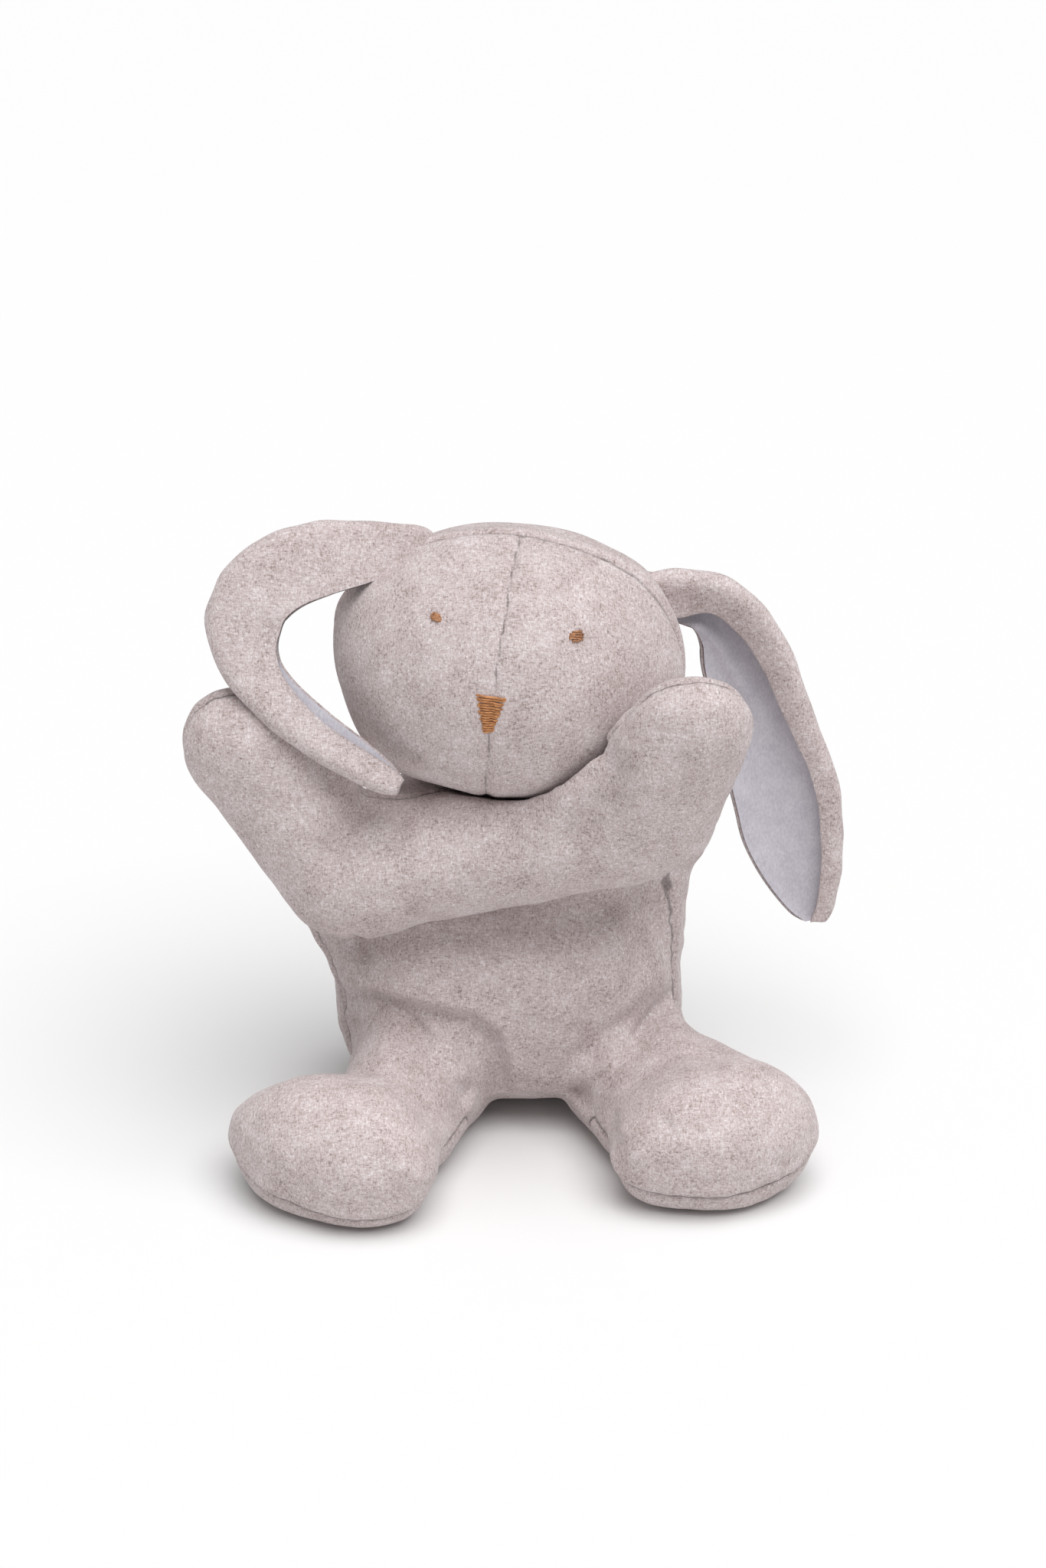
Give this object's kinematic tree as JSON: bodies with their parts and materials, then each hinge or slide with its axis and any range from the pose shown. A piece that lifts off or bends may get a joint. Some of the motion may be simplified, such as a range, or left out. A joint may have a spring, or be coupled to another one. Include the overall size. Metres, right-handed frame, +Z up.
{
  "type": "glove puppet",
  "caption": "Rabbit glove puppet in soft wool fleece, seated with raised arms, stuffed head and feet, long lined ears and a finger pocket in the head.",
  "frame": {"origin": "on the floor plane, at the middle of the flat seat the puppet sits on", "axes": "+Z up, the face looks towards -Y, +X to the right as the face is seen"},
  "size_m": [0.2362, 0.1474, 0.2405],
  "materials": {
    "wool_fleece": "napped melange wool, matt",
    "ear_lining": "smooth brushed cotton, matt",
    "facing_cotton": "plain cotton, matt",
    "embroidery_thread": "satin-stitched rayon thread, soft sheen",
    "fibre_stuffing": "loose polyester fibre, matt"
  },
  "bodies": {
    "torso": {"torso_front": "wool_fleece", "torso_back": "wool_fleece", "seat_panel": "wool_fleece", "opening_hem": "facing_cotton"},
    "neck": {"neck_sleeve": "wool_fleece"},
    "head": {"head_front_left": "wool_fleece", "head_front_right": "wool_fleece", "head_back": "wool_fleece", "head_stuffing": "fibre_stuffing", "finger_pocket": "facing_cotton", "left_eye": "embroidery_thread", "right_eye": "embroidery_thread", "nose": "embroidery_thread"},
    "left_ear": {"left_ear_outer": "wool_fleece", "left_ear_lining": "ear_lining"},
    "right_ear": {"right_ear_outer": "wool_fleece", "right_ear_lining": "ear_lining"},
    "left_arm": {"left_arm_front": "wool_fleece", "left_arm_back": "wool_fleece"},
    "right_arm": {"right_arm_front": "wool_fleece", "right_arm_back": "wool_fleece"},
    "left_leg": {"left_leg_upper": "wool_fleece", "left_leg_sole": "wool_fleece", "left_leg_stuffing": "fibre_stuffing"},
    "right_leg": {"right_leg_upper": "wool_fleece", "right_leg_sole": "wool_fleece", "right_leg_stuffing": "fibre_stuffing"}
  },
  "joints": [
    {"name": "head_turn", "type": "hinge", "parent": "torso", "child": "neck", "pos_m": [0, -0.01, 0.146], "axis": [0, 0, 1], "range_deg": [0, 20]},
    {"name": "head_nod", "type": "hinge", "parent": "neck", "child": "head", "pos_m": [0, -0.01, 0.146], "axis": [1, 0, 0], "range_deg": [-25, 0]},
    {"name": "left_ear_lift", "type": "hinge", "parent": "head", "child": "left_ear", "pos_m": [-0.035, -0.014, 0.231], "axis": [0, 0.7771, -0.6293], "range_deg": [0, 50]},
    {"name": "right_ear_lift", "type": "hinge", "parent": "head", "child": "right_ear", "pos_m": [0.057, -0.012, 0.217], "axis": [0, -1, 0], "range_deg": [0, 50]},
    {"name": "left_arm_drop", "type": "hinge", "parent": "torso", "child": "left_arm", "pos_m": [-0.046, -0.04, 0.112], "axis": [0, -1, 0], "range_deg": [0, 40]},
    {"name": "right_arm_drop", "type": "hinge", "parent": "torso", "child": "right_arm", "pos_m": [0.041, -0.051, 0.118], "axis": [0, 0.9455, 0.3256], "range_deg": [0, 50]},
    {"name": "left_leg_swing", "type": "hinge", "parent": "torso", "child": "left_leg", "pos_m": [-0.033, -0.028, 0.022], "axis": [1, 0, 0], "range_deg": [-12, 60]},
    {"name": "right_leg_swing", "type": "hinge", "parent": "torso", "child": "right_leg", "pos_m": [0.033, -0.028, 0.022], "axis": [1, 0, 0], "range_deg": [-12, 60]}
  ]
}
